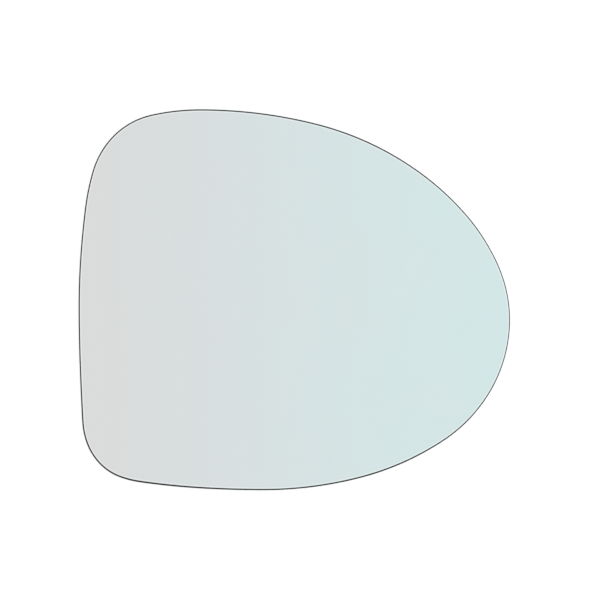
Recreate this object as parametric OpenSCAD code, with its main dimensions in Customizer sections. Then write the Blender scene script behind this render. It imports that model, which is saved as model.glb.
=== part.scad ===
// Glass of a car's convex door mirror: one silvered pane, lying face up.
// It is an even shell between two spheres of one centre, cut to a D-shaped outline.
// The rim is ground square, with a narrow arris along its front and back edges.
// Seen from the front, +Y is up and the round tip points to +X. The rim rests on z = 0.
// Headings are in degrees, counter-clockwise from +X, as the rim runs counter-clockwise.

/* [Glass] */
// Width of the glass, from its flat side to its round tip
glass_w = 150; // [136:1:170]
// Height of the glass, from its keel to its crown
glass_h = 132.4; // [120:0.1:150]
// Thickness of the glass
glass_t = 2; // [1.4:0.1:3.2]
// Radius of the convex face
face_r = 1260; // [900:10:2200]
// Width of the ground arris on either edge
arris = 0.5; // [0.1:0.05:0.6]

/* [Bend] */
// Crest of the bend: how far left of the middle
crest_left = 6.7; // [0:0.1:12]
// Crest of the bend: how far under the middle
crest_drop = 2.5; // [0:0.1:8]

/* [Tip] */
// Tip: how far under the middle
tip_drop = 7; // [3:0.5:11]
// Cheek over the tip: how far in from the tip
cheek_in = 4.5; // [3.5:0.1:5.5]
// Cheek over the tip: how far up from the tip
cheek_up = 20; // [17:0.5:22]
// Cheek over the tip: heading of the rim
cheek_heading = 115; // [111:0.5:119]

/* [Upper edge] */
// Shoulder: how far in from the tip
shoulder_in = 30.5; // [27:0.5:33]
// Shoulder: how far under the crown
shoulder_drop = 22.5; // [20:0.1:25]
// Shoulder: heading of the rim
shoulder_heading = 143.5; // [139:0.5:147]
// Crown: how far left of the middle
crown_left = 33; // [28:0.5:38]

/* [Flat side] */
// Upper corner: how far in from the flat side
top_corner_in = 11; // [9:0.5:13]
// Upper corner: how far under the crown
top_corner_drop = 10.2; // [8:0.1:12]
// Upper corner: heading of the rim
top_corner_heading = 228.5; // [222:0.5:234]
// Upper end of the side: how far in from the flat side
side_top_in = 2.2; // [1.4:0.1:2.6]
// Upper end of the side: how far under the crown
side_top_drop = 34.2; // [31:0.1:37]
// Upper end of the side: heading of the rim
side_top_heading = 263; // [261:0.5:265]
// Outermost point of the side: how far under the middle
side_drop = 2; // [-4:0.5:10]
// Lower end of the side: how far in from the flat side
side_low_in = 1.2; // [0.9:0.1:1.8]
// Lower end of the side: how far over the keel
side_low_up = 23.5; // [20:0.1:26]
// Lower end of the side: heading of the rim
side_low_heading = 273; // [272:0.5:276]

/* [Lower edge] */
// Lower corner: how far in from the flat side
low_corner_in = 7.5; // [6:0.1:9]
// Lower corner: how far over the keel
low_corner_up = 8.7; // [7:0.1:10]
// Lower corner: heading of the rim
low_corner_heading = 315; // [310:0.5:320]
// Heel: how far in from the flat side
heel_in = 21; // [18:0.5:24]
// Heel: how far over the keel
heel_up = 2.7; // [2:0.1:3.4]
// Heel: heading of the rim
heel_heading = 352; // [350:0.5:354]
// Keel: how far left of the middle
keel_left = 11; // [8:0.5:20]
// Chin: how far in from the tip
chin_in = 23; // [20:0.5:26]
// Chin: how far over the keel
chin_up = 17.2; // [15:0.1:19]
// Chin: heading of the rim
chin_heading = 33.5; // [30:0.5:38]

/* [Hidden] */

// Widest gap between a drawn chord of the rim and its true arc
chord_error = 0.01;
// Facets round each of the two great spheres, where the pane is shown as a mesh
ball_facets = 360;
// Half turn, in degrees, under which an arc is drawn as straight
straight = 0.001;

tip_x = glass_w / 2;
side_x = -glass_w / 2;
crown_y = glass_h / 2;
keel_y = -glass_h / 2;
back_r = face_r - glass_t;
crest = [-crest_left, -crest_drop];

// Stations of the outline: x, y and the heading of the rim there
stations = [
    [tip_x, -tip_drop, 90],
    [tip_x - cheek_in, cheek_up - tip_drop, cheek_heading],
    [tip_x - shoulder_in, crown_y - shoulder_drop, shoulder_heading],
    [-crown_left, crown_y, 180],
    [side_x + top_corner_in, crown_y - top_corner_drop, top_corner_heading],
    [side_x + side_top_in, crown_y - side_top_drop, side_top_heading],
    [side_x, -side_drop, 270],
    [side_x + side_low_in, keel_y + side_low_up, side_low_heading],
    [side_x + low_corner_in, keel_y + low_corner_up, low_corner_heading],
    [side_x + heel_in, keel_y + heel_up, heel_heading],
    [-keel_left, keel_y, 360],
    [tip_x - chin_in, keel_y + chin_up, chin_heading],
];

// Unit vector along a heading
function along(heading) = [cos(heading), sin(heading)];

// A vector turned a quarter to its left, which on this outline is inwards
function left_of(v) = [-v[1], v[0]];

// A vector turned counter-clockwise by an angle
function turned(v, angle) = v * cos(angle) + left_of(v) * sin(angle);

// One arc, from p along the unit vector t to q, as rim points without the last.
// A rim point is a place and the direction of the rim there. The chord leaves t by half
// of the arc's turn, and the chord to a share of the turn is worked out from that angle.
function arc(p, t, q) =
    let(
        chord = q - p,
        half = atan2(chord * left_of(t), chord * t),
        sag = norm(chord) / 2 * tan(abs(half) / 2),
        steps = max(1, ceil(sqrt(sag / chord_error)))
    )
    [for (k = [0 : steps - 1])
        let(
            share = k / steps,
            length = abs(half) < straight ? share : sin(half * share) / sin(half)
        )
        [p + norm(chord) * length * turned(t, half * share), turned(t, 2 * half * share)]];

// Two arcs that join one station to the next and share a tangent where they meet.
// Each arc's tangents are as long as pull, and the arcs meet halfway between their ends.
function two_arcs(from, to) =
    let(
        p = [from[0], from[1]],
        q = [to[0], to[1]],
        t = along(from[2]),
        u = along(to[2]),
        span = q - p,
        ahead = span * (t + u),
        pull = span * span / (ahead + sqrt(ahead * ahead + 2 * (1 - t * u) * (span * span))),
        bar = (q - pull * u) - (p + pull * t),
        meet = p + pull * t + bar / 2
    )
    concat(arc(p, t, meet), arc(meet, bar / norm(bar), q));

rim = [for (k = [0 : len(stations) - 1])
    each two_arcs(stations[k], stations[(k + 1) % len(stations)])];
count = len(rim);

// Place of a rim point, moved inwards by a distance
function inset(point, distance) = point[0] + distance * left_of(point[1]);

// Centre of both spheres, set so that the lowest edge of the back face is on z = 0
reach = max([for (point = rim) norm(inset(point, arris) - crest)]);
centre_z = -sqrt(back_r * back_r - reach * reach);
rise = centre_z + back_r;

// Height of a sphere of radius r over a place
function sphere_z(place, r) = centre_z + sqrt(r * r - (place - crest) * (place - crest));

// Ring on the ground wall, an arris short of the face of radius r, to the side given by up
function wall_ring(r, up) = [for (point = rim)
    let(wall = point[0])
    [wall[0], wall[1], sphere_z(wall, r) - up * arris]];

// Ring that carries the arris on past the face of radius r, by as much again as it is wide
function arris_ring(r, up) = [for (point = rim)
    let(
        wall = point[0],
        edge = inset(point, arris),
        past = inset(point, 2 * arris)
    )
    [past[0], past[1], 2 * sphere_z(edge, r) - sphere_z(wall, r) + up * arris]];

// Faces of the band between two rings, given by the number of each ring's first point
function band(upper, lower) = [for (k = [0 : count - 1])
    let(next = (k + 1) % count)
    each [[upper + k, upper + next, lower + next], [upper + k, lower + next, lower + k]]];

// The ground rim as one closed form, with a roof and a floor clear of both faces.
// The roof's peak is two rises over the crest, so the roof stays over the convex face.
module ground_rim() {
    peak = 4 * count;
    foot = peak + 1;
    polyhedron(
        points = concat(
            arris_ring(face_r, 1),
            wall_ring(face_r, 1),
            wall_ring(back_r, -1),
            arris_ring(back_r, -1),
            [[crest[0], crest[1], glass_t + 3 * rise], [crest[0], crest[1], 0]]
        ),
        faces = concat(
            [for (k = [0 : count - 1]) [peak, (k + 1) % count, k]],
            band(0, count),
            band(count, 2 * count),
            band(2 * count, 3 * count),
            [for (k = [0 : count - 1]) [foot, 3 * count + k, 3 * count + (k + 1) % count]]
        ),
        convexity = 4
    );
}

// Ball whose crest is a face of the pane, with its poles turned away from it
module ball(r) {
    translate([crest[0], crest[1], centre_z])
        rotate([90, 0, 0])
            sphere(r, $fn = ball_facets);
}

module mirror_glass() {
    color([0.84, 0.88, 0.89])
        difference() {
            intersection() {
                ground_rim();
                ball(face_r);
            }
            ball(back_r);
        }
}

mirror_glass();
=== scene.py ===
"""The glass of a car's door mirror, lying face up on a white table, seen from straight above."""

import bpy
import numpy as np
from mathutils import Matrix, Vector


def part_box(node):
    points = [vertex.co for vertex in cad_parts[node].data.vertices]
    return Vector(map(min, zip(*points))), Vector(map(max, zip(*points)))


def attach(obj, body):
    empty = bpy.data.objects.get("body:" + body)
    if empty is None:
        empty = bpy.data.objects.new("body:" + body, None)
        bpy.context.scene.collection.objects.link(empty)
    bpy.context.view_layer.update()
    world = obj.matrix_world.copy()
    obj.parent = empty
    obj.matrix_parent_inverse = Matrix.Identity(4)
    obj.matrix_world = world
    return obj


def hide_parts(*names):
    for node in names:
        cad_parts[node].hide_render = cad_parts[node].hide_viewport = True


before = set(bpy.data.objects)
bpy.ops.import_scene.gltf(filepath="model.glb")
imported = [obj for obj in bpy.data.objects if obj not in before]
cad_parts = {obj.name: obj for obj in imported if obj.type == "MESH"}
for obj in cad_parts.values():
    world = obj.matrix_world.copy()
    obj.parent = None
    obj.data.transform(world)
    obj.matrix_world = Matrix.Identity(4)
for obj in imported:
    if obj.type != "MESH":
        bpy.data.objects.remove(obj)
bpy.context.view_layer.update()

# Sizes of the pane, in metres, as in the part's source
PANE = "mirror_glass"
THICKNESS = 0.002
FACE_RADIUS = 1.26
CREST = np.array([-0.0067, -0.0025])
ARRIS = 0.0005
# Margin of a face along its edge, within which the mesh follows the rim
MARGIN = 0.0016

# The rim is ground by hand, so its arris is narrower at the tip and wider along the lower edge
# and most of all at the heel. Each entry is an angle round the middle of the pane, the angle
# over which the change fades out, and the share by which the arris grows there.
ARRIS_CHANGES = [(-5, 50, -0.3), (300, 30, 0.2), (230, 20, 0.3)]
# The arris's section: 1 is a quarter round and 2 is a flat bevel
BEVEL = 1.5

# Directions round the pane in which the corners of its outline are looked for
DIRECTIONS = 3600
# Steps of the curve from one corner to the next, and of the pane's mesh round the rim
CORNER_STEPS = 16
RIM_STEPS = 720
# Lines of the mesh across each part of the section
FACE_LINES = 15
MARGIN_LINES = 3
ARRIS_LINES = 6
WALL_LINES = 3

# Where the section's parts meet, counted in lines from the front crest to the back crest
MARGIN_START = FACE_LINES - 1
FRONT_EDGE = MARGIN_START + MARGIN_LINES
BACK_EDGE = FRONT_EDGE + 2 * ARRIS_LINES + WALL_LINES + 1
LAST_LINE = BACK_EDGE + FRONT_EDGE

# Map with the distances along and across the rim
RIM_MAP = "rim"
# Map with the pane laid out flat, for its textures
LAYOUT_MAP = "OFBake"
# Gap between the parts of that layout, as a share of its side
LAYOUT_GAP = 0.012
# Rows into which it cuts the rim
LAYOUT_ROWS = 6

# The photograph's frame: its side, the pane's width and the pane's middle, in pixels
PHOTO_SIDE = 600
PANE_PIXELS = 431.7
MIDDLE_PIXEL = (294.4, 299.7)
# The camera's lens and the width of its sensor, in millimetres
LENS = 100.0
SENSOR = 36.0

# Colours of the paint on the back: plain, and where it is thin
PAINT = (0.135, 0.145, 0.150, 1.0)
THIN_PAINT = (0.165, 0.175, 0.180, 1.0)

# Lowest and highest corner of the pane in the frame
low, high = (np.array(corner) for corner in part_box(PANE))


def outline_corners(node):
    """Corners of the node's outline in plan, counter-clockwise.

    Along each of many directions round the pane, the corner is the vertex that lies furthest
    out. The outline is convex, so none of its corners is missed. Each one is kept once, and
    vertices that share a place to a micrometre count as one.
    """
    co = np.empty(len(node.data.vertices) * 3)
    node.data.vertices.foreach_get("co", co)
    plan = np.unique(co.reshape(-1, 3)[:, :2].round(6), axis=0)
    turn = np.linspace(0, 2 * np.pi, DIRECTIONS, endpoint=False)
    furthest = np.argmax(plan @ np.stack([np.cos(turn), np.sin(turn)]), axis=0)
    return plan[furthest[furthest != np.roll(furthest, 1)]]


def even_loop(corners, steps):
    """Evenly spaced points of a smooth closed curve through the corners, and the loop's length.

    At a corner the curve runs along the circle through it and its two neighbours: the sum of
    the chords before and after it, each over its length squared. Between two corners it is a
    cubic whose end slopes are as long as the chord.
    """
    chord = np.roll(corners, -1, axis=0) - corners
    length = np.hypot(*chord.T)[:, None]
    before, before_length = np.roll(chord, 1, axis=0), np.roll(length, 1, axis=0)
    slope = before / before_length**2 + chord / length**2
    slope = slope / np.hypot(*slope.T)[:, None]
    t = np.arange(CORNER_STEPS)[None, :, None] / CORNER_STEPS
    p, q = corners[:, None], np.roll(corners, -1, axis=0)[:, None]
    m, n = (slope * length)[:, None], (np.roll(slope, -1, axis=0) * length)[:, None]
    curve = (2 * t**3 - 3 * t**2 + 1) * p + (t**3 - 2 * t**2 + t) * m
    curve = curve + (3 * t**2 - 2 * t**3) * q + (t**3 - t**2) * n
    curve = curve.reshape(-1, 2)
    run = np.vstack([curve, curve[:1]])
    along = np.concatenate([[0], np.cumsum(np.hypot(*np.diff(run, axis=0).T))])
    even = np.linspace(0, along[-1], steps, endpoint=False)
    return np.stack([np.interp(even, along, run[:, axis]) for axis in (0, 1)], axis=1), along[-1]


def arris_width(rim):
    """Width of the arris along the rim: the set width, with a smooth bell for each change."""
    round_pane = np.degrees(np.arctan2(rim[:, 1], rim[:, 0]))
    width = np.full(len(rim), ARRIS)
    for angle, fade, growth in ARRIS_CHANGES:
        away = (round_pane - angle + 180) % 360 - 180
        width = width + ARRIS * growth * np.exp(-((away / fade) ** 2))
    return width


def pane_lines(rim):
    """The pane's surface as closed lines round it, from the front crest over the rim to the back.

    Each face is part of a sphere: z = centre + root(radius^2 - distance from crest^2). The
    front one reaches up to the top of the node's box, and the back one down to its bottom.
    A face's lines are its margin's inner line drawn in towards the crest, and then lines at an
    even distance from the rim. On an arris, the inset and the drop are the width times
    1 - sin^k and 1 - cos^k of a quarter turn, where k is BEVEL. The wall is straight. The first
    and the last line are the crests, so all the points of such a line are one.
    """
    tangent = np.roll(rim, -1, axis=0) - np.roll(rim, 1, axis=0)
    inwards = np.stack([-tangent[:, 1], tangent[:, 0]], axis=1) / np.hypot(*tangent.T)[:, None]
    width = arris_width(rim)
    reach = np.hypot(*(rim + width[:, None] * inwards - CREST).T).max()
    back_radius = FACE_RADIUS - THICKNESS
    back_centre = low[2] - np.sqrt(back_radius**2 - reach**2)
    front_centre = high[2] - FACE_RADIUS

    def lift(plan, centre, radius, drop=0.0):
        """Puts plan points on a sphere, less a drop."""
        height = centre + np.sqrt(radius**2 - ((plan - CREST) ** 2).sum(axis=-1)) - drop
        return np.concatenate([plan, height[..., None]], axis=-1)

    share = np.linspace(0, 1, FACE_LINES)[:, None, None]
    left = np.linspace(1, 0, MARGIN_LINES + 1)[1:, None]
    inner = rim + (width + MARGIN)[:, None] * inwards
    margin = rim + (width + MARGIN * left)[..., None] * inwards
    face = np.concatenate([CREST + share * (inner - CREST), margin])
    front = lift(face, front_centre, FACE_RADIUS)
    back = lift(face, back_centre, back_radius)[::-1]
    quarter = np.linspace(0, np.pi / 2, ARRIS_LINES + 1)[1:, None]
    inset = width * (1 - np.sin(quarter) ** BEVEL)
    drop = width * (1 - np.cos(quarter) ** BEVEL)
    bevel = rim + inset[..., None] * inwards
    front_arris = lift(bevel, front_centre, FACE_RADIUS, drop)
    back_arris = lift(bevel, back_centre, back_radius, -drop)[::-1]
    down = np.linspace(0, 1, WALL_LINES + 2)[1:-1, None, None]
    wall = front_arris[-1] + down * (back_arris[0] - front_arris[-1])
    return np.concatenate([front, front_arris, wall, back_arris, back])


def pane_corners():
    """Corners of the pane's faces: which line each is on, and how many steps round the rim.

    Quads join each line to the next, and two fans of triangles close the crests. Steps run on
    to the full round in the faces that close a line, so that no map turns back there.
    Returns the lines, the steps, and how many corners each face has.
    """
    here = np.arange(RIM_STEPS)[:, None]
    band = np.arange(1, LAST_LINE - 1)[:, None, None]
    quads = np.broadcast_arrays(band + np.array([0, 1, 1, 0]), here + np.array([0, 0, 1, 1]))
    front_fan = np.broadcast_arrays(np.array([0, 1, 1]), here + np.array([0.5, 0, 1]))
    back_fan = np.broadcast_arrays(LAST_LINE - np.array([0, 1, 1]), here + np.array([0.5, 1, 0]))
    line, step = (np.concatenate([part.ravel() for part in parts])
                  for parts in zip(quads, front_fan, back_fan))
    return line, step, np.repeat([4, 3], [quads[0].size // 4, 2 * RIM_STEPS])


def flat_layout(line, step, sides, across, plan, rim_length):
    """The pane laid out flat in a unit square, through which its textures are drawn.

    At the bottom lie the front face, up to its margin, and the back face. Both are in plan and
    turned a quarter: u is the distance from the upper side and v the one from the flat side,
    at one scale, and the back's u is counted from the square's far side. Over them lies the rim
    with the front margin, cut into rows: u is the distance along the row and v falls with the
    distance across the section, at a scale of their own.
    """
    first = np.cumsum(sides) - sides
    band = np.repeat(line[first], sides)[:, None]
    row = np.repeat(step[first] * LAYOUT_ROWS // RIM_STEPS, sides)
    plan_scale = (1 - 3 * LAYOUT_GAP) / 2 / (high[1] - low[1])
    from_flat = LAYOUT_GAP + plan_scale * (plan[:, 0] - low[0])
    from_upper = LAYOUT_GAP + plan_scale * (high[1] - plan[:, 1])
    rim_scale = (1 - 2 * LAYOUT_GAP) * LAYOUT_ROWS / rim_length
    row_height = rim_scale * (across[BACK_EDGE] - across[MARGIN_START])
    row_top = 1 - LAYOUT_GAP - row * (row_height + LAYOUT_GAP)
    along = LAYOUT_GAP + (1 - 2 * LAYOUT_GAP) * (step * LAYOUT_ROWS / RIM_STEPS - row)
    front = np.stack([from_upper, from_flat], axis=1)
    back = np.stack([1 - from_upper, from_flat], axis=1)
    rim = np.stack([along, row_top - rim_scale * (across[line] - across[MARGIN_START])], axis=1)
    return np.where(band < MARGIN_START, front, np.where(band < BACK_EDGE, rim, back))


def pane_mesh(name):
    """The pane as one closed mesh, whose faces carry their finish and two maps.

    The rim's map has u along the rim and v across the section, both in metres. Its v is 0 at
    the front face's edge and below 0 on that face. The other map is the flat layout. The edges
    of the two faces are sharp.
    """
    rim, rim_length = even_loop(outline_corners(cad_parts[PANE]), RIM_STEPS)
    lines = pane_lines(rim)
    points = np.concatenate([lines[0, :1], lines[1:-1].reshape(-1, 3), lines[-1, :1]])
    line, step, sides = pane_corners()
    place = step.astype(int) % RIM_STEPS
    # The first line and the last are one point each, to which their numbers are clipped
    vertex = (1 + (line - 1) * RIM_STEPS + place).clip(0, len(points) - 1)
    first = np.cumsum(sides) - sides

    mesh = bpy.data.meshes.new(name)
    mesh.vertices.add(len(points))
    mesh.vertices.foreach_set("co", points.ravel())
    mesh.loops.add(len(vertex))
    mesh.loops.foreach_set("vertex_index", vertex.astype(np.int32))
    mesh.polygons.add(len(sides))
    mesh.polygons.foreach_set("loop_start", first.astype(np.int32))
    mesh.update(calc_edges=True)
    mesh.polygons.foreach_set("use_smooth", np.ones(len(sides), dtype=bool))
    finish = np.where(line[first] < FRONT_EDGE, 0, np.where(line[first] < BACK_EDGE, 1, 2))
    mesh.polygons.foreach_set("material_index", finish.astype(np.int32))

    stride = np.linalg.norm(np.diff(lines, axis=0), axis=-1).mean(axis=1)
    across = np.concatenate([[0], np.cumsum(stride)])
    across = across - across[FRONT_EDGE]
    along_rim = np.stack([step / RIM_STEPS * rim_length, across[line]], axis=1)
    flat = flat_layout(line, step, sides, across, lines[line, place, :2], rim_length)
    mesh.uv_layers.new(name=RIM_MAP).uv.foreach_set("vector", along_rim.ravel())
    mesh.uv_layers.new(name=LAYOUT_MAP).uv.foreach_set("vector", flat.ravel())

    ends = np.empty(len(mesh.edges) * 2, dtype=np.int32)
    mesh.edges.foreach_get("vertices", ends)
    line_of_end = (ends.reshape(-1, 2) - 1) // RIM_STEPS + 1
    level = line_of_end[:, 0] == line_of_end[:, 1]
    at_face = np.isin(line_of_end[:, 0], [FRONT_EDGE, BACK_EDGE])
    sharp = mesh.attributes.new("sharp_edge", "BOOLEAN", "EDGE")
    sharp.data.foreach_set("value", level & at_face)
    return mesh


def add(tree, kind, **inputs):
    """Adds a node and sets its properties and sockets. A socket as a value is linked.

    A socket goes by its label, or by its number after an underscore.
    """
    node = tree.nodes.new(kind)
    for name, value in inputs.items():
        if hasattr(node, name):
            setattr(node, name, value)
            continue
        socket = node.inputs[int(name[1:])] if name[0] == "_" else node.inputs[name.replace("_", " ")]
        if isinstance(value, bpy.types.NodeSocket):
            tree.links.new(value, socket)
        else:
            socket.default_value = value
    return node


def tone(red, green, blue):
    """A colour given as it shows on a screen, from 0 to 255, as linear light."""
    share = np.array([red, green, blue]) / 255
    linear = np.where(share <= 0.04045, share / 12.92, ((share + 0.055) / 1.055) ** 2.4)
    return (*linear.tolist(), 1.0)


def group(name, inputs, outputs):
    """An empty shader node group with named sockets, and its two end nodes."""
    tree = bpy.data.node_groups.new(name, "ShaderNodeTree")
    for label, kind, value in inputs:
        socket = tree.interface.new_socket(label, in_out="INPUT", socket_type=kind)
        if value is not None:
            socket.default_value = value
    for label, kind in outputs:
        tree.interface.new_socket(label, in_out="OUTPUT", socket_type=kind)
    return tree, tree.nodes.new("NodeGroupInput"), tree.nodes.new("NodeGroupOutput")


def handling_haze():
    """Soft patches where the pane was wiped and held: a value between a low and a high one."""
    tree, inside, outside = group(
        "handling haze",
        [("Vector", "NodeSocketVector", None), ("Patches per metre", "NodeSocketFloat", 30.0),
         ("Low", "NodeSocketFloat", 0.0), ("High", "NodeSocketFloat", 1.0)],
        [("Value", "NodeSocketFloat")],
    )
    patches = add(
        tree, "ShaderNodeTexNoise", Vector=inside.outputs["Vector"],
        Scale=inside.outputs["Patches per metre"], Detail=4.0, Roughness=0.55, Distortion=0.6,
    )
    level = add(
        tree, "ShaderNodeMapRange", Value=patches.outputs["Fac"], From_Min=0.35, From_Max=0.7,
        To_Min=inside.outputs["Low"], To_Max=inside.outputs["High"],
    )
    tree.links.new(level.outputs["Result"], outside.inputs["Value"])
    return tree


def fine_grain():
    """Grain of two sizes with a few pits. The height is for bump, and the pits are a mask."""
    finer_by = 3.7
    pits_over = 0.75
    pit_steepness = 12.0
    tree, inside, outside = group(
        "fine grain",
        [("Vector", "NodeSocketVector", None), ("Grains per metre", "NodeSocketFloat", 1000.0),
         ("Pit share", "NodeSocketFloat", 0.1)],
        [("Height", "NodeSocketFloat"), ("Pits", "NodeSocketFloat")],
    )
    coarse = add(
        tree, "ShaderNodeTexNoise", Vector=inside.outputs["Vector"],
        Scale=inside.outputs["Grains per metre"], Detail=3.0, Roughness=0.6,
    )
    finer = add(
        tree, "ShaderNodeMath", operation="MULTIPLY", _0=inside.outputs["Grains per metre"],
        _1=finer_by,
    )
    fleck = add(
        tree, "ShaderNodeTexNoise", Vector=inside.outputs["Vector"],
        Scale=finer.outputs["Value"], Detail=1.0,
    )
    edge = add(
        tree, "ShaderNodeMath", operation="SUBTRACT", _0=pits_over, _1=inside.outputs["Pit share"]
    )
    over = add(
        tree, "ShaderNodeMath", operation="SUBTRACT", _0=fleck.outputs["Fac"], _1=edge.outputs["Value"]
    )
    pits = add(
        tree, "ShaderNodeMath", operation="MULTIPLY", use_clamp=True, _0=over.outputs["Value"],
        _1=pit_steepness,
    )
    height = add(
        tree, "ShaderNodeMath", operation="SUBTRACT", _0=coarse.outputs["Fac"], _1=pits.outputs["Value"]
    )
    tree.links.new(height.outputs["Value"], outside.inputs["Height"])
    tree.links.new(pits.outputs["Value"], outside.inputs["Pits"])
    return tree


HAZE = handling_haze()
GRAIN = fine_grain()


def material(name):
    """A new material with its node tree, its surface shader and its texture coordinates."""
    made = bpy.data.materials.new(name)
    made.use_nodes = True
    tree = made.node_tree
    return made, tree, tree.nodes["Principled BSDF"], tree.nodes.new("ShaderNodeTexCoord")


def placed(tree, kind, vector, **inputs):
    """One of the shared groups, placed in a material with its own values."""
    node = tree.nodes.new("ShaderNodeGroup")
    node.node_tree = kind
    tree.links.new(vector, node.inputs["Vector"])
    for label, value in inputs.items():
        node.inputs[label.replace("_", " ")].default_value = value
    return node


def rim_place(tree):
    """A place on the rim's map, and its distance across the section from the front edge."""
    place = add(tree, "ShaderNodeUVMap", uv_map=RIM_MAP).outputs["UV"]
    return place, add(tree, "ShaderNodeSeparateXYZ", Vector=place).outputs["Y"]


def silvered_face():
    """Silvering under a polished face. Its colour runs from neutral at the flat side to cooler towards the
    tip: the silver's own tone with a painted reflection of the surroundings laid over it.

    A thin band just inside the edge is a painted highlight, where the colour is mixed towards white. Its
    place and half width are in metres, on the rim's map.
    """
    # The tones from the flat side to the tip are a painted reflection of the surroundings over the
    # silver's own tone
    flat_side = tone(217, 217, 217)
    tip = tone(208, 230, 230)
    # Each tone between them has its share of the way from the flat side to the tip
    tones_between = [(0.35, tone(213, 222, 223)), (0.78, tone(209, 229, 229))]
    # Painted highlight: a band just inside the edge, mixed towards white
    highlight_from_edge = 0.0003
    highlight_half_width = 0.0002
    highlight_strength = 0.6
    made, tree, surface, place = material("silvered_face")
    position = add(tree, "ShaderNodeSeparateXYZ", Vector=place.outputs["Object"])
    across = add(
        tree, "ShaderNodeMapRange", Value=position.outputs["X"],
        From_Min=float(low[0]), From_Max=float(high[0]),
    )
    # Silver's tone with the painted reflection, from the flat side to the tip
    silver_and_painted_reflection = add(tree, "ShaderNodeValToRGB", Fac=across.outputs["Result"])
    ramp = silver_and_painted_reflection.color_ramp
    ramp.elements[0].color = flat_side
    ramp.elements[1].color = tip
    for share, colour in tones_between:
        ramp.elements.new(share).color = colour
    off_middle = add(
        tree, "ShaderNodeMath", operation="ADD", _0=rim_place(tree)[1], _1=highlight_from_edge
    )
    off_highlight = add(tree, "ShaderNodeMath", operation="ABSOLUTE", _0=off_middle.outputs["Value"])
    painted_highlight = add(
        tree, "ShaderNodeMapRange", Value=off_highlight.outputs["Value"],
        From_Max=highlight_half_width, To_Min=highlight_strength, To_Max=0.0,
    )
    # Mixes the painted highlight into the face's colour
    face = add(
        tree, "ShaderNodeMix", data_type="RGBA", _0=painted_highlight.outputs["Result"],
        _6=silver_and_painted_reflection.outputs["Color"], _7=(1.0, 1.0, 1.0, 1.0),
    )
    haze = placed(tree, HAZE, place.outputs["Object"], Patches_per_metre=22.0, Low=0.02, High=0.045)
    tree.links.new(face.outputs[2], surface.inputs["Base Color"])
    tree.links.new(haze.outputs["Value"], surface.inputs["Roughness"])
    surface.inputs["Metallic"].default_value = 1.0
    surface.inputs["Coat Weight"].default_value = 1.0
    surface.inputs["Coat Roughness"].default_value = 0.01
    surface.inputs["Coat IOR"].default_value = 1.5
    return made


def ground_rim():
    """Ground glass round the rim: satin, with fine lines left by the wheel.

    The front arris is near black, the wall is dark green glass with pale pits, and the back
    paint creeps unevenly over the back arris. The rim's map gives the place across the rim, in
    metres from the front edge, and the places and widths here are on it.
    """
    dark_glass = (0.012, 0.014, 0.014, 1.0)
    wall_glass = (0.075, 0.110, 0.098, 1.0)
    pit_glass = (0.20, 0.25, 0.23, 1.0)
    arris_ends = 0.0007
    paint_starts = 0.0019
    blend = 0.00015
    creep = 0.0005
    # Scale of the grain along the wheel's lines, as a share of the one across them
    along_wheel = 0.12
    made, tree, surface, place = material("ground_rim")
    on_rim, across = rim_place(tree)
    stretch = add(tree, "ShaderNodeMapping", Vector=on_rim, Scale=(along_wheel, 1.0, 1.0))
    grain = placed(tree, GRAIN, stretch.outputs["Vector"], Grains_per_metre=9000.0, Pit_share=0.12)
    haze = placed(tree, HAZE, place.outputs["Object"], Patches_per_metre=60.0, Low=0.34, High=0.5)
    ragged = placed(tree, HAZE, place.outputs["Object"], Patches_per_metre=260.0, Low=0.0, High=creep)
    past_arris = add(
        tree, "ShaderNodeMapRange", Value=across,
        From_Min=arris_ends - blend, From_Max=arris_ends + blend,
    )
    crept = add(tree, "ShaderNodeMath", operation="ADD", _0=across, _1=ragged.outputs["Value"])
    painted = add(
        tree, "ShaderNodeMapRange", Value=crept.outputs["Value"],
        From_Min=paint_starts, From_Max=paint_starts + blend,
    )
    wall = add(
        tree, "ShaderNodeMix", data_type="RGBA", _0=grain.outputs["Pits"],
        _6=wall_glass, _7=pit_glass,
    )
    glass = add(
        tree, "ShaderNodeMix", data_type="RGBA", _0=past_arris.outputs["Result"],
        _6=dark_glass, _7=wall.outputs[2],
    )
    tint = add(
        tree, "ShaderNodeMix", data_type="RGBA", _0=painted.outputs["Result"],
        _6=glass.outputs[2], _7=PAINT,
    )
    bump = add(
        tree, "ShaderNodeBump", Strength=0.35, Distance=0.00004, Height=grain.outputs["Height"]
    )
    tree.links.new(tint.outputs[2], surface.inputs["Base Color"])
    tree.links.new(haze.outputs["Value"], surface.inputs["Roughness"])
    tree.links.new(bump.outputs["Normal"], surface.inputs["Normal"])
    surface.inputs["Specular IOR Level"].default_value = 0.1
    return made


def painted_back():
    """Protective paint on the back: matt grey, rolled on, with a faint orange peel."""
    made, tree, surface, place = material("painted_back")
    grain = placed(tree, GRAIN, place.outputs["Object"], Grains_per_metre=700.0, Pit_share=0.06)
    haze = placed(tree, HAZE, place.outputs["Object"], Patches_per_metre=28.0, Low=0.48, High=0.62)
    patch = placed(tree, HAZE, place.outputs["Object"], Patches_per_metre=45.0, Low=0.0, High=1.0)
    tint = add(
        tree, "ShaderNodeMix", data_type="RGBA", _0=patch.outputs["Value"],
        _6=PAINT, _7=THIN_PAINT,
    )
    bump = add(
        tree, "ShaderNodeBump", Strength=0.3, Distance=0.0001, Height=grain.outputs["Height"]
    )
    tree.links.new(tint.outputs[2], surface.inputs["Base Color"])
    tree.links.new(haze.outputs["Value"], surface.inputs["Roughness"])
    tree.links.new(bump.outputs["Normal"], surface.inputs["Normal"])
    return made


def make_pane():
    """The pane, in place of the CAD node."""
    mesh = pane_mesh("mirror_pane")
    for finish in (silvered_face(), ground_rim(), painted_back()):
        mesh.materials.append(finish)
    pane = bpy.data.objects.new("mirror_pane", mesh)
    bpy.context.scene.collection.objects.link(pane)
    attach(pane, "root")
    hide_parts(PANE)
    return pane


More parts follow.
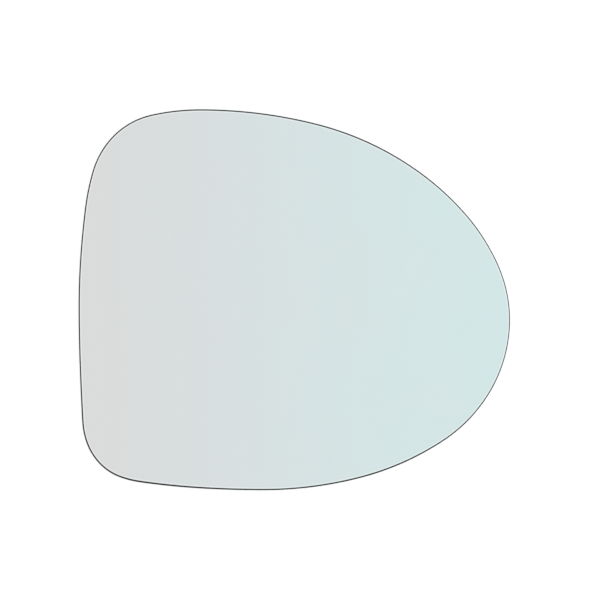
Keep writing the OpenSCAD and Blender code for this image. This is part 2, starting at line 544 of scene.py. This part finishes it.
def ray_kinds(tree):
    """Two masks: 1 on rays of the camera, and 1 on rays that come from gloss or glass."""
    path = tree.nodes.new("ShaderNodeLightPath")
    mirrored = add(
        tree, "ShaderNodeMath", operation="MAXIMUM",
        _0=path.outputs["Is Glossy Ray"], _1=path.outputs["Is Transmission Ray"],
    )
    return path.outputs["Is Camera Ray"], mirrored.outputs["Value"]


def make_table():
    """A round white table top under the pane.

    Its glow lifts what is seen or mirrored of it to plain white, and gives no light otherwise.
    """
    radius = 3.0
    glow = 0.55
    corners = 96
    clear_of_pane = 0.00002
    turn = np.linspace(0, 2 * np.pi, corners, endpoint=False)
    level = float(low[2]) - clear_of_pane
    points = np.stack([radius * np.cos(turn), radius * np.sin(turn), np.full(corners, level)], axis=1)
    mesh = bpy.data.meshes.new("table")
    mesh.from_pydata(points.tolist(), [], [list(range(corners))])
    mesh.update()
    made, tree, surface, _ = material("table_white")
    surface.inputs["Base Color"].default_value = (0.85, 0.85, 0.85, 1.0)
    surface.inputs["Roughness"].default_value = 0.9
    surface.inputs["Specular IOR Level"].default_value = 0.0
    surface.inputs["Emission Color"].default_value = (1.0, 1.0, 1.0, 1.0)
    seen, mirrored = ray_kinds(tree)
    either = add(tree, "ShaderNodeMath", operation="MAXIMUM", _0=seen, _1=mirrored)
    lit = add(tree, "ShaderNodeMath", operation="MULTIPLY", _0=either.outputs["Value"], _1=glow)
    tree.links.new(lit.outputs["Value"], surface.inputs["Emission Strength"])
    mesh.materials.append(made)
    table = bpy.data.objects.new("table", mesh)
    bpy.context.scene.collection.objects.link(table)


def make_world():
    """A white studio. It lights the pane with less than the white that is seen and mirrored.

    What the pane mirrors is white overhead and falls off softly towards the horizon.
    """
    ambient = 0.6
    horizon = 0.68
    white_above = 0.9
    world = bpy.data.worlds.new("white_studio")
    bpy.context.scene.world = world
    world.use_nodes = True
    tree = world.node_tree
    direction = add(
        tree, "ShaderNodeSeparateXYZ", Vector=tree.nodes.new("ShaderNodeTexCoord").outputs["Generated"]
    )
    studio = add(
        tree, "ShaderNodeMapRange", interpolation_type="SMOOTHSTEP", Value=direction.outputs["Z"],
        From_Max=white_above, To_Min=horizon, To_Max=1.0,
    )
    seen, mirrored = ray_kinds(tree)
    unseen = add(
        tree, "ShaderNodeMapRange", Value=mirrored, To_Min=ambient, To_Max=studio.outputs["Result"]
    )
    level = add(tree, "ShaderNodeMath", operation="MAXIMUM", _0=seen, _1=unseen.outputs["Result"])
    backdrop = tree.nodes["Background"]
    backdrop.inputs["Color"].default_value = (1.0, 1.0, 1.0, 1.0)
    tree.links.new(level.outputs["Value"], backdrop.inputs["Strength"])


def make_lamp(name, place, side, watts):
    """A square soft lamp that faces the pane."""
    light = bpy.data.lights.new(name, "AREA")
    light.shape = "SQUARE"
    light.size = side
    light.energy = watts
    lamp = bpy.data.objects.new(name, light)
    bpy.context.scene.collection.objects.link(lamp)
    lamp.visible_camera = False
    lamp.visible_glossy = False
    lamp.location = place
    aim = -np.array(place)
    flat = np.hypot(aim[0], aim[1])
    lamp.rotation_euler = (np.pi / 2 + np.arctan2(aim[2], flat), 0, np.arctan2(aim[1], aim[0]) - np.pi / 2)


def make_camera():
    """A camera straight above, so far off that the pane has its width in the photograph."""
    metres_per_pixel = float(high[0] - low[0]) / PANE_PIXELS
    view = PHOTO_SIDE * metres_per_pixel
    camera_data = bpy.data.cameras.new("camera")
    camera_data.lens = LENS
    camera_data.sensor_width = SENSOR
    camera = bpy.data.objects.new("camera", camera_data)
    bpy.context.scene.collection.objects.link(camera)
    middle = (low + high) / 2
    right = (PHOTO_SIDE / 2 - MIDDLE_PIXEL[0]) * metres_per_pixel
    up = (MIDDLE_PIXEL[1] - PHOTO_SIDE / 2) * metres_per_pixel
    camera.location = (middle[0] + right, middle[1] + up, middle[2] + view * LENS / SENSOR)
    bpy.context.scene.camera = camera


bpy.context.scene.view_settings.view_transform = "Standard"
make_pane()
make_table()
make_world()
make_lamp("key_lamp", place=(0.70, -0.25, 0.70), side=0.80, watts=2.4)
make_lamp("fill_lamp", place=(-0.50, 0.80, 0.75), side=0.80, watts=2.0)
make_camera()
